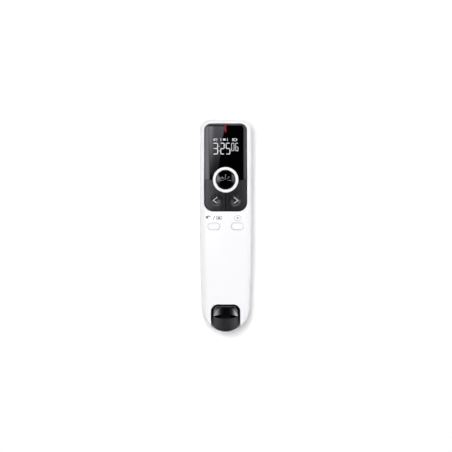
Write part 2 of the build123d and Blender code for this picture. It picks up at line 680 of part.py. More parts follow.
# ---------------------------------------------------------------- cells, tray and contacts
def battery_tray():
    """Inner chassis: two arched troughs open to the back, the receiver's dock, ears and lugs."""
    half = TRAY_HALF_WIDTH
    y_range = (BAY_Y[0] - TRAY_WALL, BAY_Y[1] + TRAY_WALL)
    tray = block((-half, half), y_range, (TRAY_LOW_Z, BOARD_Z[0]))
    dock_half = PLUG_HALF_WIDTH + 2.4
    dock_y = (RECEIVER_Y[1] + RECEIVER_GAP + NOTCH_WALL + 0.1, DOCK_END_Y)
    tray = tray + block((-dock_half, dock_half), dock_y, (PLUG_Z - 3.3, PLUG_Z + 3.3))
    trough_r = CELL_R + 0.25
    ear_z = (TAIL_SEAT_Z, TAIL_SEAT_Z + EAR_THICKNESS)
    for side in SIDES:
        x = side * CELL_X
        tray = tray - lengthwise(trough_r, x, CELL_Z, BAY_Y)
        tray = tray - block((x - trough_r, x + trough_r), BAY_Y, (0, CELL_Z))
        screw_x, screw_y = TAIL_SCREW
        ear = block((side * screw_x - BOSS_R, side * screw_x + BOSS_R), (screw_y, y_range[0] + 0.4), ear_z)
        tray = tray + ear + upright(BOSS_R, side * screw_x, screw_y, ear_z)
        tray = tray - upright(SCREW_HOLE_R, side * screw_x, screw_y, (ear_z[0] - 0.5, ear_z[1] + 0.3))
        for low, high in HOOK_SPANS:
            tray = tray + block(sorted((side * (half - 0.3), side * (half + 1.4))), (low, high), LUG_Z)
    strip_low, strip_high = BRIDGE_STRIP_Z
    bridge_room = block((-2, 2), (BAY_Y[0], BAY_Y[0] + 0.4), (strip_low - 0.1, strip_high + 0.1))
    return tray - bridge_room - plug_space(0.25, PLUG_END_Y + 0.4)


def cell(side):
    """One AAA cell: eased can with a raised terminal, turned end for end on the other side."""
    half = CELL_LENGTH / 2
    middle_y = (BAY_Y[0] + BAY_Y[1]) / 2
    can = lengthwise(CELL_R, 0, 0, (-half, half - 1.0))
    can = chamfer(can.edges().filter_by(GeomType.CIRCLE), 0.3)
    upward = can + lengthwise(1.9, 0, 0, (half - 1.2, half))
    return Pos(side * CELL_X, middle_y, CELL_Z) * Rot(0, 0, 0 if side < 0 else 180) * upward


def contact_plate(x, wall_y, facing):
    """Sheet contact against an end wall of the bay."""
    return block((x - 3.6, x + 3.6), sorted((wall_y, wall_y + facing * CONTACT_SHEET)), CONTACT_Z)


def contact_leaf(x, wall_y, facing):
    """Bowed leaf that presses on a cell's flat end."""
    root = wall_y + facing * (CONTACT_SHEET - 0.1)
    reach = 2.9
    inner_reach = reach - CONTACT_SHEET
    with BuildSketch(Plane.YZ) as profile:
        with BuildLine():
            ThreePointArc((root, CELL_Z - reach), (root + facing * 1.1, CELL_Z), (root, CELL_Z + reach))
            Line((root, CELL_Z + reach), (root, CELL_Z + inner_reach))
            ThreePointArc((root, CELL_Z + inner_reach), (root + facing * 0.85, CELL_Z),
                          (root, CELL_Z - inner_reach))
            Line((root, CELL_Z - inner_reach), (root, CELL_Z - reach))
        make_face()
    return Pos(x - 1.8, 0, 0) * extrude(profile.sketch, amount=3.6)


def contact_button(x, wall_y, facing):
    """Round pip that meets a cell's raised terminal."""
    return lengthwise(1.7, x, CELL_Z, sorted((wall_y + facing * 0.1, wall_y + facing * 1.4)))


def contact_bridge():
    """Plate at the tail end of the bay that joins the two cells."""
    wall_y = BAY_Y[0]
    strip = block((-4, 4), (wall_y, wall_y + CONTACT_SHEET), BRIDGE_STRIP_Z)
    plates = contact_plate(-CELL_X, wall_y, 1) + contact_plate(CELL_X, wall_y, 1)
    return strip + plates + contact_leaf(-CELL_X, wall_y, 1) + contact_button(CELL_X, wall_y, 1)


keep("battery_tray", battery_tray())
keep("battery_left", cell(-1))
keep("battery_right", cell(1))
keep("contact_bridge", contact_bridge())
keep("contact_positive", contact_plate(-CELL_X, BAY_Y[1], -1) + contact_button(-CELL_X, BAY_Y[1], -1))
keep("contact_negative", contact_plate(CELL_X, BAY_Y[1], -1) + contact_leaf(CELL_X, BAY_Y[1], -1))


# ---------------------------------------------------------------- screws
def screw(x, y, seat_z):
    """Pan-head screw driven up from the back, with a cross recess."""
    low_z = seat_z - SCREW_HEAD
    head = upright(SCREW_HEAD_R, x, y, (low_z, seat_z))
    head = chamfer(head.edges().group_by(Axis.Z)[0], 0.3)
    for turn in (0, 90):
        head = head - Pos(x, y, low_z) * Rot(0, 0, turn) * Box(2.0, 0.4, 1.0)
    return (head + upright(SCREW_R, x, y, (seat_z - 0.1, seat_z + SCREW_LENGTH))).solids()[0]


keep("case_screws", Compound([screw(side * x, y, seat_z) for side in SIDES
                              for (x, y), seat_z in ((TAIL_SCREW, TAIL_SEAT_Z), (NOSE_SCREW, NOSE_SEAT_Z))]))


# ---------------------------------------------------------------- receiver
def receiver_form(inset=0.0, rounded=True):
    """The receiver's outer form: outline under the housing's front face, its upper edge rolled over."""
    plan = receiver_outline()
    if inset:
        plan = offset(plan, -inset)
    form = (prism(plan, (RECEIVER_BASE_Z, 2 * THICKNESS)) & front_limit(inset)).solids()[0]
    return eased(rim_edges(form, SPLIT_Z + 5, BEYOND), RECEIVER_EDGE_R - inset, rounded)


def behind_lip():
    """Everything from the grip's curved lip to the end of the receiver."""
    side_y, middle_y = GRIP_LIP_Y
    half = RECEIVER_HALF_WIDTH + 1
    with BuildSketch() as outline:
        with BuildLine():
            ThreePointArc((-half, side_y), (0, middle_y), (half, side_y))
            Polyline((half, side_y), (half, TAIL_Y - 2), (-half, TAIL_Y - 2), (-half, side_y))
        make_face()
    return prism(outline.sketch, (0, BEYOND))


def scoop():
    """Thumb scoop: a round-cornered hollow inside the rim, its trough deepening up to the grip's lip."""
    start_y = RECEIVER_Y[1] - SCOOP_RIM
    end_y = GRIP_LIP_Y[1]
    floor = [THICKNESS - (WAIST_Y - y)**2 / (2 * TAIL_DROP_R) - depth
             for y, depth in zip((start_y, end_y), SCOOP_DEPTH)]
    slope = atan2(floor[0] - floor[1], start_y - end_y)
    axis_start = (0, start_y - SCOOP_R * sin(slope), floor[0] + SCOOP_R * cos(slope))
    lie = Plane(origin=axis_start, x_dir=(1, 0, 0), z_dir=(0, -cos(slope), -sin(slope)))
    trough = lie * Cylinder(SCOOP_R, 2 * BEYOND)
    inside_rim = prism(offset(receiver_outline(), -SCOOP_RIM), (RECEIVER_BASE_Z, BEYOND))
    return (trough & inside_rim) - behind_lip()


def receiver_pieces():
    """Gloss case with scoop and cavity, and the matte grip that wraps its end."""
    form = receiver_form()
    grip = (form - receiver_form(GRIP_THICKNESS, rounded=False)) & behind_lip()
    grip = grip & block((-HALF, HALF), (TAIL_Y - 1, GRIP_LIP_Y[0] + 1), (RECEIVER_BASE_Z + 1.4, BEYOND))
    case = form - scoop() - grip
    case = case - block((-RECEIVER_ROOM_HALF, RECEIVER_ROOM_HALF), RECEIVER_ROOM_Y, RECEIVER_ROOM_Z)
    plug_z = (PLUG_Z - PLUG_HEIGHT / 2, PLUG_Z + PLUG_HEIGHT / 2)
    plug_mouth = block((-PLUG_HALF_WIDTH, PLUG_HALF_WIDTH), (PLUG_ROOT_Y - 0.2, RECEIVER_Y[1] + 1), plug_z)
    return case - plug_mouth, grip


def usb_shell():
    """Sheet-metal plug shell with its four square windows."""
    half = PLUG_HALF_WIDTH
    low_z = PLUG_Z - PLUG_HEIGHT / 2
    high_z = PLUG_Z + PLUG_HEIGHT / 2
    sheet = 0.3
    shell = block((-half, half), (PLUG_ROOT_Y, PLUG_END_Y), (low_z, high_z))
    shell = fillet(shell.edges().filter_by(Axis.Y), 0.5)
    inner_half = half - sheet
    shell = shell - block((-inner_half, inner_half), (PLUG_ROOT_Y - 1, 0), (low_z + sheet, high_z - sheet))
    window_half = 1.25
    window_y = (PLUG_END_Y - 7.2, PLUG_END_Y - 5.2)
    for side in SIDES:
        x = side * 2.25
        shell = shell - block((x - window_half, x + window_half), window_y, (0, BEYOND))
    return shell


def usb_tongue():
    """Plastic tongue inside the plug's shell."""
    return block((-5.6, 5.6), (PLUG_ROOT_Y + 2, PLUG_END_Y - 0.5), (TONGUE_Z, TONGUE_Z + 1.6))


def usb_contacts():
    """Four gold-coloured contacts on the tongue."""
    y_range = (PLUG_ROOT_Y + 0.2, PLUG_END_Y - 1.5)
    return Compound([block((x - 0.5, x + 0.5), y_range, (TONGUE_Z - 0.2, TONGUE_Z)).solids()[0]
                     for x in (-3.5, -1.0, 1.0, 3.5)])


def receiver_board():
    """Circuit board between the plug and the receiver's end."""
    half = RECEIVER_ROOM_HALF - 0.2
    return block((-half, half), (RECEIVER_ROOM_Y[0] + 0.2, PLUG_ROOT_Y - 0.2), (14.9, 15.8))


case, grip = receiver_pieces()
keep("receiver_housing", case)
keep("receiver_grip", grip)
keep("receiver_board", receiver_board())
keep("usb_shell", usb_shell())
keep("usb_tongue", usb_tongue())
keep("usb_contacts", usb_contacts())

os.makedirs("parts", exist_ok=True)
for name, solid in parts.items():
    export_step(solid, f"parts/{name}.step")
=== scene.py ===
import json
import bpy
import numpy as np
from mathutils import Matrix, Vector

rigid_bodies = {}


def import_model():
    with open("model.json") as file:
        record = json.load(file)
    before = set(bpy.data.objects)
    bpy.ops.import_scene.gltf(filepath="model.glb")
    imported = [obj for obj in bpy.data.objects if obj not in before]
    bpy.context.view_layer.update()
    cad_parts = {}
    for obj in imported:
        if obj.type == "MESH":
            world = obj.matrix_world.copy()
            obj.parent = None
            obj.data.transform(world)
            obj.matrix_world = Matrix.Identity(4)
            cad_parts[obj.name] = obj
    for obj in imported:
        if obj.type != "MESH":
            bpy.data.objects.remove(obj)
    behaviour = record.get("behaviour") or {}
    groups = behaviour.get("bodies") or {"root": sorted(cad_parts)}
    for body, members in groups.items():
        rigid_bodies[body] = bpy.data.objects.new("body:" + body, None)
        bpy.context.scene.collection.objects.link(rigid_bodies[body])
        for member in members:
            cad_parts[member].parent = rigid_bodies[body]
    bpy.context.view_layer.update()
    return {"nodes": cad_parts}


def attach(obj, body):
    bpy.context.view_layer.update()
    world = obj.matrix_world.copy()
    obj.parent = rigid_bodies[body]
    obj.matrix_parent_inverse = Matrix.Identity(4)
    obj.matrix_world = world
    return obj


for leftover in list(bpy.data.objects):
    bpy.data.objects.remove(leftover)
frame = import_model()
nodes = frame["nodes"]
scene = bpy.context.scene
scene.view_settings.view_transform = "Standard"


# ---- White shell: front housing, rear housing, battery door, ring and the two pill-shaped buttons
# Injection-moulded ABS, polished mould. The rear housing is screwed to bosses of the front one, and the
# battery door slides into them. Ring and buttons come from the same white.
def linear(hex_colour):
    """sRGB hex to linear RGBA."""
    parts = np.array([int(hex_colour[i:i + 2], 16) for i in (1, 3, 5)]) / 255
    low = parts / 12.92
    high = ((parts + 0.055) / 1.055) ** 2.4
    return (*np.where(parts <= 0.04045, low, high).tolist(), 1.0)


def add(tree, kind, inputs=(), **settings):
    """Adds a shader node. settings are its properties; inputs gives its sockets, by name or number, a
    value or another node's output."""
    node = tree.nodes.new("ShaderNode" + kind)
    for name, value in settings.items():
        setattr(node, name, value)
    for key, value in dict(inputs).items():
        if isinstance(value, bpy.types.NodeSocket):
            tree.links.new(value, node.inputs[key])
        else:
            node.inputs[key].default_value = value
    return node


def new_material(name):
    """An empty material: its node tree, the place in metres that its patterns follow, and its output."""
    material = bpy.data.materials.new(name)
    material.use_nodes = True
    tree = material.node_tree
    tree.nodes.clear()
    place = add(tree, "TexCoord").outputs["Object"]
    return material, tree, place, add(tree, "OutputMaterial")


DRIFT_MM, GLOSS_MM = 18, 6          # sizes of the patches where colour and gloss drift
HAIR_MM, HAIR_SQUEEZE = 0.35, 0.06  # width of a scuff, and its width over its length
NOISE_SPAN = {"From Min": 0.3, "From Max": 0.7}     # nearly all of a noise texture's values lie in it
SCUFF_EDGE = {"From Min": 0.62, "From Max": 0.72}   # only the noise's peaks are scuffs
FIRST, SECOND, MIXED = 6, 7, 2      # a Mix node's sockets for colours: its two inputs and its output


def plastic(name, colour, roughness, grain_mm, depth_mm, drift=0.02, uneven=0.15, scuffs=0.0, pattern=None,
            **sockets):
    """A moulded, lacquered or printed surface. Its colour and gloss drift a little, hairline scuffs run
    mostly along the part, and the mould or lacquer leaves a grain of the given size and depth. Instead,
    pattern(tree, place, base) may give the colour. Other keywords are sockets of the shader."""
    material, tree, place, output = new_material(name)
    base = linear(colour)
    if pattern:
        shade = pattern(tree, place, base)
    else:
        darker = (*[part * (1 - drift) for part in base[:3]], 1)
        lighter = (*[min(1, part * (1 + drift)) for part in base[:3]], 1)
        clouds = add(tree, "TexNoise", {"Vector": place, "Scale": 1000 / DRIFT_MM})
        shade = add(tree, "Mix", {"Factor": clouds.outputs["Fac"], FIRST: darker, SECOND: lighter},
                    data_type="RGBA").outputs[MIXED]
    patches = add(tree, "TexNoise", {"Vector": place, "Scale": 1000 / GLOSS_MM, "Detail": 3.0})
    gloss = add(tree, "MapRange", {"Value": patches.outputs["Fac"], **NOISE_SPAN,
                                   "To Min": roughness * (1 - uneven), "To Max": roughness * (1 + uneven)})
    drawn = add(tree, "Mapping", {"Vector": place, "Scale": (1.0, HAIR_SQUEEZE, 1.0)})
    hairs = add(tree, "TexNoise", {"Vector": drawn.outputs["Vector"], "Scale": 1000 / HAIR_MM,
                                   "Detail": 4.0})
    scuffed = add(tree, "MapRange", {"Value": hairs.outputs["Fac"], **SCUFF_EDGE, "To Max": scuffs})
    worn = add(tree, "Math", {0: gloss.outputs["Result"], 1: scuffed.outputs["Result"]}, operation="ADD")
    grain = add(tree, "TexNoise", {"Vector": place, "Scale": 1000 / grain_mm})
    bump = add(tree, "Bump", {"Height": grain.outputs["Fac"], "Strength": 1.0, "Distance": depth_mm / 1000})
    shader = add(tree, "BsdfPrincipled", {"Base Color": shade, "Roughness": worn.outputs["Value"],
                                          "Normal": bump.outputs["Normal"]})
    for key, value in sockets.items():
        shader.inputs[key.replace("_", " ")].default_value = value
    tree.links.new(shader.outputs["BSDF"], output.inputs["Surface"])
    return material


def dress(material, *names):
    """Gives CAD nodes one material."""
    for name in names:
        nodes[name].data.materials.clear()
        nodes[name].data.materials.append(material)


# Clean near-white with a soft sheen; a slight orange peel breaks the edges of reflections, and hairlines
# from desks and pockets show only where light grazes.
gloss_abs = plastic("gloss_white_abs", "#F1F1F3", 0.31, 0.9, 0.0012, drift=0.003, uneven=0.08, scuffs=0.03,
                    IOR=1.53)
dress(gloss_abs, "front_housing", "rear_housing", "battery_door", "button_ring")
# The small buttons are moulded apart, a shade duller so that a thumb doesn't slip.
satin_abs = plastic("satin_white_abs", "#EFEFF1", 0.33, 0.5, 0.002, drift=0.003, uneven=0.08, scuffs=0.04,
                    IOR=1.53)
dress(satin_abs, "screen_button", "timer_button")


# ---- Window, round button and receiver body
# The window is acrylic painted black from behind and glued into the frame; the round button and the
# receiver's body are polished black ABS of the same look.
# Mirror-smooth black: only what it reflects gives it tone, with a trace of orange peel and dust-fine wear.
gloss_black = plastic("polished_black_acrylic", "#020203", 0.03, 3.0, 0.0004, drift=0.1, uneven=0.3,
                      scuffs=0.03, IOR=1.49)
dress(gloss_black, "display_window", "pointer_button", "receiver_housing")
# Spark-eroded black ABS of the frame: a dull fine grain that shows as a thin line round the window.
eroded_black = plastic("spark_eroded_black_abs", "#0B0B0C", 0.42, 0.25, 0.008)
dress(eroded_black, "panel_frame")


# ---- Keys, receiver grip and power slide
# ABS with a soft-touch lacquer that is sprayed on before the signs are printed. The keys stand on the push
# switches, the grip wraps the receiver's end, and the slide runs in a slot in the shell's right side.
# Dark grey with a wide soft sheen and a peel too fine to see singly; it dulls evenly, without hairlines.
soft_touch = plastic("soft_touch_lacquer", "#18181A", 0.24, 0.22, 0.004, drift=0.06, uneven=0.07, IOR=1.5)
dress(soft_touch, "previous_key", "next_key", "receiver_grip", "power_slider")


# ---- Laser marker
# A strip of cast red acrylic, pressed into a groove at the top of the window. It lies over the laser and
# shows which way the beam goes.
# Deep red, glossy, slightly clouded inside.
red_acrylic = plastic("cast_red_acrylic", "#7D0B14", 0.10, 1.0, 0.0008, drift=0.08, uneven=0.2, IOR=1.49)
dress(red_acrylic, "laser_marker")


# ---- Display stack: glass, its frame and the two contact strips
# Two sheets of glass with the liquid crystal between, held in a frame of natural ABS over the board. A
# striped silicone strip under each long edge joins its contacts to the board. The cells' tray is of the
# same ABS.
WAVE = 1000 * np.pi / 10            # a wave texture of scale 1 repeats every pi / 10 m, here in mm
LINE_SPACING, LAYER_SPACING = 0.4, 0.5
LINE_EDGE = {"From Min": 0.75, "From Max": 0.95}    # where on the wave a line, or a layer, starts
LAYER_EDGE = {"From Min": 0.45, "From Max": 0.55}


def cell_grid(tree, place, base):
    """Dark polariser over fine conductor lines, LINE_SPACING mm apart."""
    wave = add(tree, "TexWave", {"Vector": place, "Scale": WAVE / LINE_SPACING, "Distortion": 0.3})
    lines = add(tree, "MapRange", {"Value": wave.outputs["Fac"], **LINE_EDGE})
    return add(tree, "Mix", {"Factor": lines.outputs["Result"], FIRST: base, SECOND: linear("#1E2526")},
               data_type="RGBA").outputs[MIXED]


def zebra(tree, place, base):
    """Black conductive layers, every LAYER_SPACING mm, in grey silicone."""
    wave = add(tree, "TexWave", {"Vector": place, "Scale": WAVE / LAYER_SPACING})
    layers = add(tree, "MapRange", {"Value": wave.outputs["Fac"], **LAYER_EDGE})
    return add(tree, "Mix", {"Factor": layers.outputs["Result"], FIRST: linear("#B8B4A8"), SECOND: base},
               data_type="RGBA").outputs[MIXED]


# Dark green-grey glass with a faint ruling.
display_glass = plastic("polarised_display_glass", "#15191A", 0.06, 2.0, 0.0002, pattern=cell_grid, IOR=1.52)
dress(display_glass, "display_panel")
# Rubber with crisp stripes.
zebra_rubber = plastic("striped_contact_rubber", "#141414", 0.6, 0.3, 0.004, pattern=zebra, IOR=1.41)
dress(zebra_rubber, "display_connectors")
# Warm unpainted ABS with a tool-marked matte face.
natural_abs = plastic("natural_abs", "#D2D0C8", 0.45, 0.6, 0.01, drift=0.03, IOR=1.53)
dress(natural_abs, "display_holder", "battery_tray")


# ---- Circuit boards and the parts on them
# Glass-epoxy boards with green solder resist over etched copper; chips, push switches and the slide
# switch are soldered on top.
TRACK_SPACING, WIRED_MM = 1.2, 5    # along the board's edge, and size of the wired patches
TRACK_EDGE = {"From Min": 0.55, "From Max": 0.65}
WIRED_EDGE = {"From Min": 0.47, "From Max": 0.50}


def tracks(tree, place, base):
    """Diagonal copper tracks, a little narrower than the gaps between them, seen through the resist where
    the board is wired. Along each axis a diagonal wave is twice as long as one along that axis alone."""
    clouds = add(tree, "TexNoise", {"Vector": place, "Scale": 1000 / WIRED_MM, "Detail": 1.0})
    wired = add(tree, "MapRange", {"Value": clouds.outputs["Fac"], **WIRED_EDGE})
    wave = add(tree, "TexWave", {"Vector": place, "Scale": 2 * WAVE / TRACK_SPACING},
               bands_direction="DIAGONAL")
    runs = add(tree, "MapRange", {"Value": wave.outputs["Fac"], **TRACK_EDGE})
    lines = add(tree, "Math", {0: wired.outputs["Result"], 1: runs.outputs["Result"]}, operation="MULTIPLY")
    return add(tree, "Mix", {"Factor": lines.outputs["Value"], FIRST: base, SECOND: linear("#1F7A48")},
               data_type="RGBA").outputs[MIXED]


# Deep green, semi-gloss, with lighter green tracks under it.
solder_resist = plastic("green_solder_resist", "#0C4A2A", 0.34, 0.5, 0.006, pattern=tracks, IOR=1.52)
dress(solder_resist, "main_board", "receiver_board", "laser_board")
# Black epoxy, finely pitted by its mould.
chip_epoxy = plastic("moulded_chip_epoxy", "#1C1C1E", 0.5, 0.12, 0.006, drift=0.08, IOR=1.55)
dress(chip_epoxy, "board_chips", "tact_switches", "switch_base", "usb_tongue")


# ---- Cells
# Two AAA cells, drawn steel cans in a shrunk plastic sleeve that is printed but carries no lettering. They
# lie in the tray's troughs, turned end for end, between sprung contacts.
def sleeve(band_start, band_stop):
    """A blue-grey sleeve with a copper-coloured band at the positive end, between two heights along Y in
    metres."""
    def colours(tree, place, base):
        along = add(tree, "SeparateXYZ", {"Vector": place})
        band = add(tree, "MapRange", {"Value": along.outputs["Y"], "From Min": band_start,
                                      "From Max": band_stop})
        return add(tree, "Mix", {"Factor": band.outputs["Result"], FIRST: base, SECOND: linear("#A9683A")},
                   data_type="RGBA").outputs[MIXED]
    return colours


# Satin film with one metallic-looking band; the sleeves face opposite ways, as the cells do.
left_sleeve = plastic("cell_sleeve_left", "#263240", 0.34, 1.2, 0.002, pattern=sleeve(-0.0042, -0.0040),
                      IOR=1.5)
right_sleeve = plastic("cell_sleeve_right", "#263240", 0.34, 1.2, 0.002, pattern=sleeve(-0.0258, -0.0260),
                       IOR=1.5)
dress(left_sleeve, "battery_left")
dress(right_sleeve, "battery_right")


# ---- Metal parts
# Battery contacts are stamped from spring steel and nickel-plated, as are screws, motor can and plug
# shell; the laser's barrel and the plug's contacts are turned or stamped from brass.
TONE_MM, TONE_LOW = 4, 0.9          # size of the patches where the tone drifts, and its darkest
SMOOTHEST, DULLEST = 0.8, 1.3       # roughness between and on the tool lines, against the given one


def metal(name, colour, roughness, line_mm, stretch, depth_mm):
    """A bare metal whose tool lines, line_mm apart, run along the axis that stretch makes short."""
    material, tree, place, output = new_material(name)
    drawn = add(tree, "Mapping", {"Vector": place, "Scale": stretch})
    lines = add(tree, "TexNoise", {"Vector": drawn.outputs["Vector"], "Scale": 1000 / line_mm,
                                   "Detail": 3.0})
    tone = linear(colour)
    darker = (*[part * TONE_LOW for part in tone[:3]], 1)
    clouds = add(tree, "TexNoise", {"Vector": place, "Scale": 1000 / TONE_MM})
    shade = add(tree, "Mix", {"Factor": clouds.outputs["Fac"], FIRST: tone, SECOND: darker},
                data_type="RGBA")
    bump = add(tree, "Bump", {"Height": lines.outputs["Fac"], "Strength": 1.0, "Distance": depth_mm / 1000})
    dull = add(tree, "MapRange", {"Value": lines.outputs["Fac"], **NOISE_SPAN,
                                  "To Min": roughness * SMOOTHEST, "To Max": roughness * DULLEST})
    shader = add(tree, "BsdfPrincipled", {
        "Base Color": shade.outputs[MIXED], "Metallic": 1.0, "Roughness": dull.outputs["Result"],
        "Normal": bump.outputs["Normal"]})
    tree.links.new(shader.outputs["BSDF"], output.inputs["Surface"])
    return material


# Pale bright metal with rolling lines along it.
nickel = metal("nickel_plated_steel", "#C6C4C0", 0.20, 0.12, (1.0, 0.08, 1.0), 0.0015)
dress(nickel, "contact_bridge", "contact_positive", "contact_negative", "case_screws", "usb_shell",
      "vibration_motor")
# Yellow metal with the fine rings that turning leaves across it.
brass = metal("turned_brass", "#C8A050", 0.20, 0.10, (0.1, 1.0, 0.1), 0.002)
dress(brass, "laser_barrel", "usb_contacts")


# ---- Laser optics
# A moulded collimating lens seated in the barrel, and a disc of smoked acrylic that is pressed into the nose
# and hides it.
# Clear and smooth; the window is tinted.
clear_lens = plastic("moulded_lens", "#F4F6F8", 0.03, 2.0, 0.0001, Transmission_Weight=1.0, IOR=1.59)
dress(clear_lens, "laser_lens")
smoked_acrylic = plastic("smoked_acrylic", "#2A1518", 0.05, 2.0, 0.0002, Transmission_Weight=0.6, IOR=1.49)
dress(smoked_acrylic, "laser_window")


# ---- Display read-out and the signs over it
# A negative segment display shows pale figures on black through the window. Here they are a film on the
# window's face, a few hundredths of a millimetre thick, as the ink of the printed signs below is.
FRONT_Z, CROWN_R, WAIST_Y, TAIL_DROP_R = 24.0, 95.0, -4.0, 567.0    # mm, as the housing is moulded


def front_height(x, y):
    """Height in mm of the housing's crowned front: z = FRONT_Z - x^2 / 2 CROWN_R, and below WAIST_Y it falls
    away by (WAIST_Y - y)^2 / 2 TAIL_DROP_R."""
    fall = np.maximum(0, WAIST_Y - y)
    return FRONT_Z - x**2 / (2 * CROWN_R) - fall**2 / (2 * TAIL_DROP_R)


SHARPEST = 0.4      # a mitred corner reaches out by at most half the line's width over this


def strokes(paths, width, closed=False, steps=1):
    """Lines with a rectangular section, in mm. Each leg of a path is split into steps, and every point p
    goes to p + n w/2 and p - n w/2, with n the mitred normal and w the width, which may be given point by
    point. Returns the points as (x, y, 1 for top or 0 for bottom) and the faces."""
    points, faces = [], []
    first = 0
    for path in paths:
        path = np.array(path, float)
        if closed:
            path = np.vstack([path, path[:1]])
        places = np.linspace(0, len(path) - 1, (len(path) - 1) * steps + 1)
        line = np.column_stack([np.interp(places, np.arange(len(path)), path[:, i]) for i in (0, 1)])
        if closed:
            line = line[:-1]
            before, after = line - np.roll(line, 1, 0), np.roll(line, -1, 0) - line
        else:
            step = np.diff(line, axis=0)
            before, after = np.vstack([step[:1], step]), np.vstack([step, step[-1:]])
        before /= np.linalg.norm(before, axis=1)[:, None]
        after /= np.linalg.norm(after, axis=1)[:, None]
        middle = before + after
        middle /= np.linalg.norm(middle, axis=1)[:, None]
        reach = np.asarray(width) / 2 / np.maximum(SHARPEST, (middle * after).sum(1))
        normal = np.column_stack([-middle[:, 1], middle[:, 0]]) * reach[:, None]
        count = len(line)
        ring = np.stack([line + normal, line - normal, line - normal, line + normal], axis=1)
        level = np.tile([1.0, 1.0, 0.0, 0.0], (count, 1))
        points.append(np.concatenate([ring, level[:, :, None]], axis=2).reshape(-1, 3))
        legs = np.arange(count if closed else count - 1)[:, None]
        here, there = first + legs * 4, first + (legs + 1) % count * 4
        for side in range(4):
            other = (side + 1) % 4
            faces.append(np.hstack([here + side, here + other, there + other, there + side]))
        if not closed:
            faces.append(first + np.array([[3, 2, 1, 0]]))
            faces.append(first + (count - 1) * 4 + np.array([[0, 1, 2, 3]]))
        first += count * 4
    return np.vstack(points), np.vstack(faces)


def printed(name, body, material, batches, height, proud=0.03, sunk=0.05):
    """One printed piece on a CAD body: batches of strokes laid on the surface height(x, y), in mm. The ink
    stands proud of it, and its underside is sunk a little, so that no gap shows."""
    points, faces = [], []
    first = 0
    for batch_points, batch_faces in batches:
        points.append(batch_points)
        faces.append(first + batch_faces)
        first += len(batch_points)
    flat = np.vstack(points)
    z = height(flat[:, 0], flat[:, 1]) + np.where(flat[:, 2] > 0.5, proud, -sunk)
    mesh = bpy.data.meshes.new(name)
    mesh.from_pydata((np.column_stack([flat[:, :2], z]) / 1000).tolist(), [], np.vstack(faces).tolist())
    mesh.validate()
    piece = bpy.data.objects.new(name, mesh)
    scene.collection.objects.link(piece)
    piece.data.materials.append(material)
    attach(piece, body)


# Segments a to g of a figure one wide and two high, from its bottom left corner, and those that each figure
# lights.
SEGMENT_ENDS = {"a": ((0, 2), (1, 2)), "b": ((1, 2), (1, 1)), "c": ((1, 1), (1, 0)), "d": ((0, 0), (1, 0)),
                "e": ((0, 0), (0, 1)), "f": ((0, 1), (0, 2)), "g": ((0, 1), (1, 1))}
FIGURE_SEGMENTS = {"0": "abcdef", "2": "abged", "3": "abgcd", "5": "afgcd", "6": "afgedc"}
SEGMENT_GAP, SEGMENT_SHOULDER, SEGMENT_TIP = 0.1, 0.55, 0.15    # in line widths


def figure(number, left, low, width, high, line):
    """One segment figure. The box is that of its lines' middles; each bar is pointed and stops short of the
    corners."""
    paths = []
    for letter in FIGURE_SEGMENTS[number]:
        start, stop = (np.array(end) * (width, high / 2) + (left, low) for end in SEGMENT_ENDS[letter])
        step = (stop - start) / np.linalg.norm(stop - start) * line
        paths.append([start + step * SEGMENT_GAP, start + step * SEGMENT_SHOULDER,
                      stop - step * SEGMENT_SHOULDER, stop - step * SEGMENT_GAP])
    return strokes(paths, np.array([SEGMENT_TIP, 1, 1, SEGMENT_TIP]) * line)


OVAL_LEGS = 32


def oval(x, y, half_width, half_height, line, start=0.0, turn=360.0):
    """An oval line, or the part of one from start through turn, in degrees: the points are at x + half_width
    cos t, y + half_height sin t."""
    whole = turn >= 360.0
    angles = np.radians(start + np.linspace(0, turn, OVAL_LEGS + 1)[:OVAL_LEGS if whole else None])
    path = np.column_stack([x + half_width * np.cos(angles), y + half_height * np.sin(angles)])
    return strokes([path], line, closed=whole)


def oblong(x0, x1, y0, y1):
    """Corners of a rectangle, from its lower left one anticlockwise."""
    return [(x0, y0), (x1, y0), (x1, y1), (x0, y1)]


def box_line(x0, x1, y0, y1, line):
    """A rectangle drawn with a line."""
    return strokes([oblong(x0, x1, y0, y1)], line, closed=True)


def filled(x0, x1, y0, y1):
    """A filled rectangle."""
    middle = (y0 + y1) / 2
    return strokes([[(x0, middle), (x1, middle)]], y1 - y0)


# Pale, evenly lit segments with the faint weave of the display's diffuser.
segment_film = plastic("negative_display_segment", "#D0D2D5", 0.4, 0.25, 0.002, drift=0.06)
# Foot, height and line of the minutes and of the smaller seconds. Places are in mm from the middle of the
# clicker, here and in the other signs.
BIG_LOW, BIG_HIGH, BIG_LINE = 45.8, 6.9, 0.60
SMALL_LOW, SMALL_HIGH, SMALL_LINE = 47.9, 4.8, 0.38
printed("display_figures", "handset", segment_film, [
    figure("3", -7.85, BIG_LOW, 2.75, BIG_HIGH, BIG_LINE),
    figure("2", -3.1, BIG_LOW, 2.2, BIG_HIGH, BIG_LINE),
    figure("5", 0.35, BIG_LOW, 2.4, BIG_HIGH, BIG_LINE),
    filled(-4.45, -3.95, 47.5, 48.0), filled(-4.45, -3.95, 50.5, 51.0),
    figure("0", 3.8, SMALL_LOW, 1.6, SMALL_HIGH, SMALL_LINE),
    figure("6", 6.4, SMALL_LOW, 1.6, SMALL_HIGH, SMALL_LINE)], front_height)
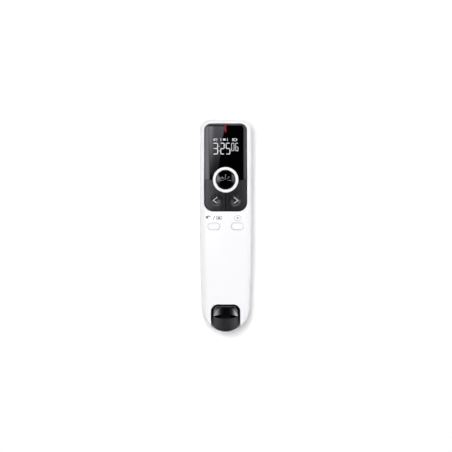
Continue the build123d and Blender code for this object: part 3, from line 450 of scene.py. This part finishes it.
# Sound, shake and cell signs over the figures.
printed("display_icons", "handset", segment_film, [
    filled(-8.0, -7.4, 54.6, 55.3), strokes([[(-7.1, 54.2), (-7.1, 55.7)]], 0.4),
    oval(-7.0, 54.95, 0.9, 0.9, 0.25, -50, 100), oval(-7.0, 54.95, 1.6, 1.5, 0.25, -40, 80),
    strokes([[(-3.0, 54.0), (-3.0, 55.9)], [(1.2, 54.0), (1.2, 55.9)]], 0.3), filled(-1.7, 0.0, 54.4, 55.6),
    box_line(4.4, 6.9, 54.2, 55.7, 0.3), filled(7.05, 7.5, 54.6, 55.3), filled(4.8, 5.6, 54.6, 55.3)],
    front_height)


# ---- Rays on the round button
# A fan of five rays, the sign for the light pointer. It is pad-printed on the domed cap, whose top the soft
# printing pad follows.
DOME_MIDDLE_Y, DOME_TOP, DOME_R = 29.3, 24.35, 30.86


def dome_height(x, y):
    """Height of the round button's top in mm: a sphere of radius DOME_R about its axis."""
    return DOME_TOP - DOME_R + np.sqrt(DOME_R**2 - x**2 - (y - DOME_MIDDLE_Y)**2)


# Mid-grey ink, flat and slightly rough at its edges.
dim_ink = plastic("dim_pad_print", "#6C6D72", 0.5, 0.2, 0.002, drift=0.05)
FAN_MIDDLE = (0.0, 28.75)
FAN = ((3, 1.2, 3.4), (48, 0.9, 3.4), (90, 0.8, 4.0), (132, 0.9, 3.4), (177, 1.2, 3.4))
RAY_WIDTHS = (0.22, 0.24, 0.34, 0.66)   # it swells from a hairline to a blunt outer end
rays = []
for degrees, inner, outer in FAN:
    direction = np.array([np.cos(np.radians(degrees)), np.sin(np.radians(degrees))])
    rays.append([direction * inner + FAN_MIDDLE, direction * outer + FAN_MIDDLE])
printed("button_rays", "pointer_button", dim_ink, [strokes(rays, RAY_WIDTHS, steps=3)], dome_height)


# ---- Chevrons on the keys
# Signs for back, on the left key, and on with the talk, on the right key. They are pad-printed in the finger
# dishes, over the lacquer.
DISH_X, DISH_Y, DISH_RIM_R, DISH_DEPTH = 6.5, 16.2, 4.05, 0.7
DISH_BALL_R = (DISH_RIM_R**2 + DISH_DEPTH**2) / (2 * DISH_DEPTH)


def dish_height(x, y):
    """Height of a key's finger dish in mm: a ball sunk DISH_DEPTH into the front."""
    across = np.abs(x) - DISH_X
    centre = front_height(DISH_X, DISH_Y) - DISH_DEPTH + DISH_BALL_R
    return centre - np.sqrt(DISH_BALL_R**2 - across**2 - (y - DISH_Y)**2)


# Pale grey ink.
pale_ink = plastic("pale_pad_print", "#C6C7CA", 0.5, 0.2, 0.002, drift=0.05)
CHEVRON_IN, CHEVRON_OUT, CHEVRON_HALF, CHEVRON_LINE = 1.05, 1.4, 1.8, 0.44
for side, key in ((-1, "previous_key"), (1, "next_key")):
    root, tip = side * (DISH_X - CHEVRON_IN), side * (DISH_X + CHEVRON_OUT)
    chevron = [(root, DISH_Y + CHEVRON_HALF), (tip, DISH_Y), (root, DISH_Y - CHEVRON_HALF)]
    printed(key + "_chevron", key, pale_ink, [strokes([chevron], CHEVRON_LINE, steps=6)], dish_height)


# ---- Signs over the small buttons
# A curved arrow, a slash and a screen over the left button, and a timer's dial over the right one, all
# pad-printed on the white shell.
# Grey ink, thin enough for the white to show a little at its edges.
grey_ink = plastic("grey_pad_print", "#6E7074", 0.5, 0.2, 0.002, drift=0.05)
printed("screen_sign", "handset", grey_ink, [
    filled(-12.6, -11.1, 4.6, 6.05), strokes([[(-11.7, 6.0), (-10.5, 6.1), (-9.7, 5.8)]], 0.5),
    strokes([[(-7.9, 3.8), (-7.0, 6.1)]], 0.38),
    box_line(-5.9, -2.5, 4.1, 6.0, 0.26), filled(-5.0, -3.4, 4.3, 5.45)], front_height)
printed("timer_sign", "handset", grey_ink, [
    oval(7.8, 4.85, 2.2, 1.7, 0.13), filled(7.36, 8.24, 4.46, 5.34)], front_height)


# ---- Floor
# A plain white table that the clicker lies on. The camera and reflections see it a little lighter than its
# paint, so that it reads as white and keeps the near part of the shadow.
def panel(name, corners):
    """A flat panel from its corner points, in metres. It belongs to the studio."""
    mesh = bpy.data.meshes.new(name)
    mesh.from_pydata(corners, [], [tuple(range(len(corners)))])
    made = bpy.data.objects.new(name, mesh)
    scene.collection.objects.link(made)
    return made


FLOOR_HALF = 8.0
FLOOR_LIFT = 0.15               # how much lighter it is seen
PAINT_MM = 300                  # size of the faint clouds in its paint
floor = panel("floor", [(*corner, 0) for corner in oblong(-FLOOR_HALF, FLOOR_HALF, -FLOOR_HALF, FLOOR_HALF)])
material, tree, place, output = new_material("white_table")
clouds = add(tree, "TexNoise", {"Vector": place, "Scale": 1000 / PAINT_MM})
shade = add(tree, "Mix", {"Factor": clouds.outputs["Fac"], FIRST: linear("#EDEDED"),
                          SECOND: linear("#EFEFEF")}, data_type="RGBA")
paint = add(tree, "BsdfDiffuse", {"Color": shade.outputs[MIXED]})
rays_kind = add(tree, "LightPath").outputs
seen = add(tree, "Math", {0: rays_kind["Is Camera Ray"], 1: rays_kind["Is Glossy Ray"]}, operation="ADD")
seen = add(tree, "Math", {0: seen.outputs[0], 1: rays_kind["Is Transmission Ray"]}, operation="ADD",
           use_clamp=True)
lift = add(tree, "Math", {0: seen.outputs[0], 1: FLOOR_LIFT}, operation="MULTIPLY")
glow = add(tree, "Emission", {"Strength": lift.outputs[0]})
both = add(tree, "AddShader", {0: paint.outputs[0], 1: glow.outputs[0]})
tree.links.new(both.outputs[0], output.inputs["Surface"])
floor.data.materials.append(material)


# ---- Studio light
# A large soft box overhead, a little to the upper left, lights every colour as it is. Glowing cards stand
# round a dark opening over the clicker, where the camera is, and are what its gloss black parts reflect.
CARD_HEIGHT = 0.6               # metres, as are all places here
CARD_TINT = (0.93, 0.93, 1.0, 1.0)  # slightly blue


def card(name, corners, level, *ramps):
    """A glowing card over the table. It shows only in reflections: the camera doesn't see it, and it neither
    lights nor shades anything. Each ramp (axis, from, to, low, high) scales its radiance along one axis."""
    made = panel(name, [(*corner, CARD_HEIGHT) for corner in corners])
    made.visible_camera = False
    made.visible_diffuse = False
    made.visible_shadow = False
    material, tree, place, output = new_material(name + "_glow")
    across = add(tree, "SeparateXYZ", {"Vector": place}).outputs
    strength = level
    for axis, start, stop, low, high in ramps:
        ramp = add(tree, "MapRange", {"Value": across[axis], "From Min": start, "From Max": stop,
                                      "To Min": low, "To Max": high}, interpolation_type="SMOOTHSTEP")
        product = add(tree, "Math", {0: strength, 1: ramp.outputs["Result"]}, operation="MULTIPLY")
        strength = product.outputs[0]
    glow = add(tree, "Emission", {"Color": CARD_TINT, "Strength": strength})
    tree.links.new(glow.outputs[0], output.inputs["Surface"])
    made.data.materials.append(material)


# The window shows this one, with its slanted edge.
card("glare_card", [(-0.013, 0.0866), (0.006, 0.100), (-0.14, 0.100), (-0.14, 0.045), (-0.072, 0.045)], 1.9,
     ("X", -0.085, -0.16, 1.0, 3.2), ("Y", 0.046, 0.080, 0.12, 1.0), ("Y", 0.078, 0.090, 1.0, 1.25))
# These two show in the rolled edges of the window and at both sides of the round button.
card("left_card",
     [(-0.42, -0.10), (-0.138, -0.10), (-0.138, 0.09), (-0.172, 0.12), (-0.172, 0.24), (-0.42, 0.24)],
     4.8, ("X", -0.138, -0.155, 0.3, 1.0), ("X", -0.22, -0.42, 1.0, 0.0), ("Y", -0.05, 0.06, 0.05, 1.0))
card("right_card", oblong(0.158, 0.36, -0.06, 0.24), 2.6, ("X", 0.158, 0.20, 0.75, 1.0),
     ("X", 0.25, 0.36, 1.0, 0.0), ("Y", -0.04, 0.05, 0.1, 1.0), ("Y", 0.10, 0.16, 1.0, 1.4))
# A sheen along both sides of the white body.
card("left_lower_card", oblong(-0.18, -0.06, -0.29, -0.15), 4.4, ("X", -0.06, -0.10, 0.0, 1.0),
     ("X", -0.13, -0.18, 1.0, 0.0))
card("right_lower_card", oblong(0.06, 0.18, -0.29, -0.15), 4.4, ("X", 0.06, 0.10, 0.0, 1.0),
     ("X", 0.13, 0.18, 1.0, 0.0))
# The rolled top end of the window.
card("top_card", oblong(-0.35, 0.3, 0.26, 0.52), 3.0, ("Y", 0.26, 0.32, 0.2, 1.0),
     ("Y", 0.38, 0.52, 1.0, 0.0))
# The top edge of the white shell.
card("far_card", oblong(-0.5, 0.5, 0.62, 1.1), 2.5)
# The two glints in the receiver's scoop.
card("low_left_card", oblong(-1.4, 0, -1.3, -0.74), 12.5, ("X", -0.15, -0.50, 0.12, 1.0),
     ("X", -0.40, -0.95, 0.04, 1.0))
card("low_right_card", oblong(0, 1.4, -1.3, -0.74), 8.2, ("X", 0.10, 0.42, 0.12, 1.0),
     ("X", 0.30, 0.80, 0.06, 1.0))


def soft_box(name, place, size, watts):
    """A square lamp aimed at the clicker. It shows neither to the camera nor in reflections."""
    lamp = bpy.data.lights.new(name, "AREA")
    lamp.shape = "SQUARE"
    lamp.size = size
    lamp.energy = watts
    box = bpy.data.objects.new(name, lamp)
    box.location = place
    box.rotation_euler = Vector(place).to_track_quat("Z", "Y").to_euler()
    box.visible_glossy = False
    box.visible_camera = False
    scene.collection.objects.link(box)


soft_box("overhead_soft_box", place=(-0.16, 0.16, 1.3), size=0.5, watts=16.6)
# A fill from the right keeps that flank as pale as the rest.
soft_box("right_fill", place=(0.92, 0.0, 0.55), size=0.5, watts=2.6)

# A white backdrop stands all round, up to some 15 degrees over the table; above it the room is dark.
BACKDROP_TOP = (0.20, 0.30)     # sine of the height where it starts and stops fading
world = bpy.data.worlds.new("white_backdrop")
world.use_nodes = True
tree = world.node_tree
sky = add(tree, "SeparateXYZ", {"Vector": add(tree, "TexCoord").outputs["Generated"]})
fade = add(tree, "MapRange", {"Value": sky.outputs["Z"], "From Min": BACKDROP_TOP[0],
                              "From Max": BACKDROP_TOP[1], "To Min": 1.0, "To Max": 0.0})
tree.links.new(fade.outputs["Result"], tree.nodes["Background"].inputs["Strength"])
tree.nodes["Background"].inputs["Color"].default_value = (1, 1, 1, 1)
scene.world = world


# ---- Camera
# A long lens straight above the clicker, the laser end up. Its focal length gives the front face its size in
# the picture.
CLICKER_LENGTH = 0.136
CLICKER_PIXELS = 212.0
PIXEL = CLICKER_LENGTH / CLICKER_PIXELS     # metres a pixel, at the front face
FRAME_PIXELS = 452
CENTRE_PIXEL = (225.6, 225.64)  # where the middle of the clicker falls
CAMERA_HEIGHT = 1.6
FRONT_HEIGHT = 0.018            # mean height of the faces that it sees
lens = bpy.data.cameras.new("camera")
lens.sensor_width = 36.0
lens.lens = lens.sensor_width * (CAMERA_HEIGHT - FRONT_HEIGHT) / (PIXEL * FRAME_PIXELS)
camera = bpy.data.objects.new("camera", lens)
camera.location = ((FRAME_PIXELS / 2 - CENTRE_PIXEL[0]) * PIXEL,
                   (CENTRE_PIXEL[1] - FRAME_PIXELS / 2) * PIXEL, CAMERA_HEIGHT)
scene.collection.objects.link(camera)
scene.camera = camera
